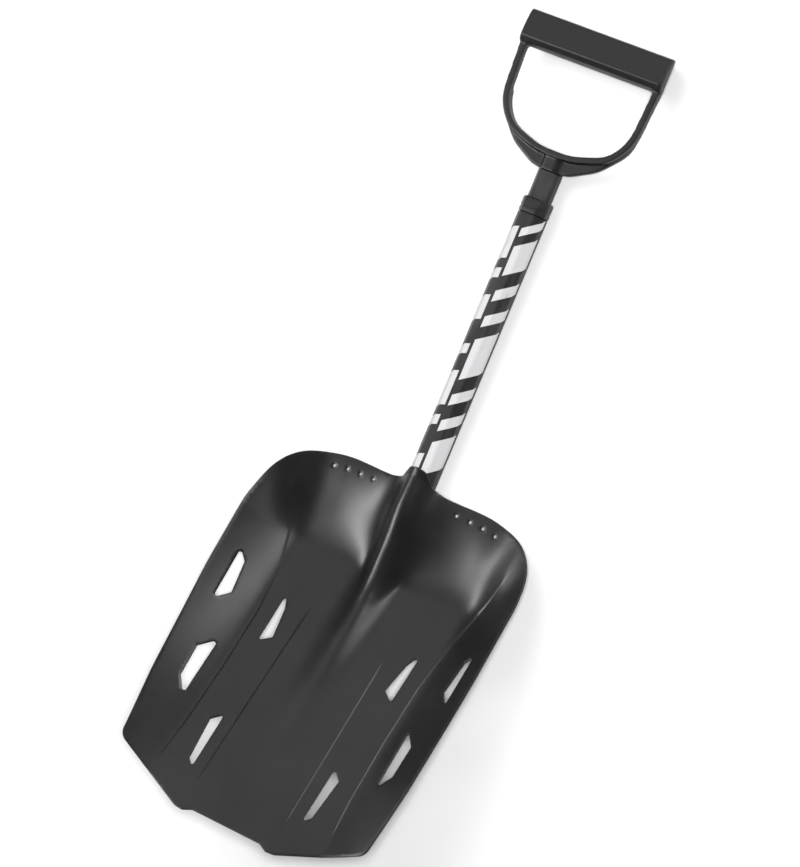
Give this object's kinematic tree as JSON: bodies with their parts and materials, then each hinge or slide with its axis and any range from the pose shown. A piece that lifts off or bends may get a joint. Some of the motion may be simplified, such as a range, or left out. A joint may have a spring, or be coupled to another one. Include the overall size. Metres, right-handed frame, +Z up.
{
  "type": "avalanche shovel",
  "caption": "Compact snow shovel with a perforated black sheet blade, a two-stage telescopic shaft that locks with spring buttons, and a D-shaped grip.",
  "frame": {"origin": "bottom centre of the folded shovel's bounding box, on the ground it lies on", "axes": "+Y along the shaft from the blade's tip to the grip, +Z up out of the blade's hollow side, +X across to the right seen from the tip end with the hollow side up"},
  "size_m": [0.243, 0.6571, 0.0971],
  "materials": {
    "blade_coat": "satin black coating on aluminium sheet",
    "plate_coat": "satin black coating on aluminium sheet",
    "shaft_coat": "semi-matte black anodised tube with printed white blocks",
    "rivet_coat": "black coated aluminium",
    "nylon": "fine-grained moulded nylon",
    "grip_plastic": "matte moulded nylon",
    "steel": "plain stainless steel"
  },
  "bodies": {
    "blade": {"blade": "blade_coat", "socket_plate": "plate_coat", "socket_rivet_1": "rivet_coat", "socket_rivet_2": "rivet_coat", "socket_rivet_3": "rivet_coat", "socket_rivet_4": "rivet_coat", "socket_rivet_5": "rivet_coat", "socket_rivet_6": "rivet_coat"},
    "lower_shaft": {"lower_shaft": "shaft_coat", "lower_shaft_plug": "nylon", "guide_collar": "nylon", "blade_button_spring": "steel"},
    "upper_shaft": {"upper_shaft": "shaft_coat", "upper_shaft_plug": "nylon", "d_grip": "grip_plastic", "grip_rivet_1": "rivet_coat", "grip_rivet_2": "rivet_coat", "extension_button_spring": "steel"},
    "blade_button": {"blade_button": "steel"},
    "extension_button": {"extension_button": "steel"}
  },
  "joints": [
    {"name": "shaft_in_socket", "type": "slide", "parent": "blade", "child": "lower_shaft", "axis": [0, 1, 0], "range_m": [0, 0.1]},
    {"name": "shaft_extension", "type": "slide", "parent": "lower_shaft", "child": "upper_shaft", "axis": [0, 1, 0], "range_m": [0, 0.17]},
    {"name": "extension_button_push", "type": "slide", "parent": "upper_shaft", "child": "extension_button", "axis": [0, 0, -1], "range_m": [0, 0.0036], "deforming": ["extension_button_spring"]},
    {"name": "blade_button_push", "type": "slide", "parent": "lower_shaft", "child": "blade_button", "axis": [0, 0, -1], "range_m": [0, 0.002], "deforming": ["blade_button_spring"]}
  ]
}
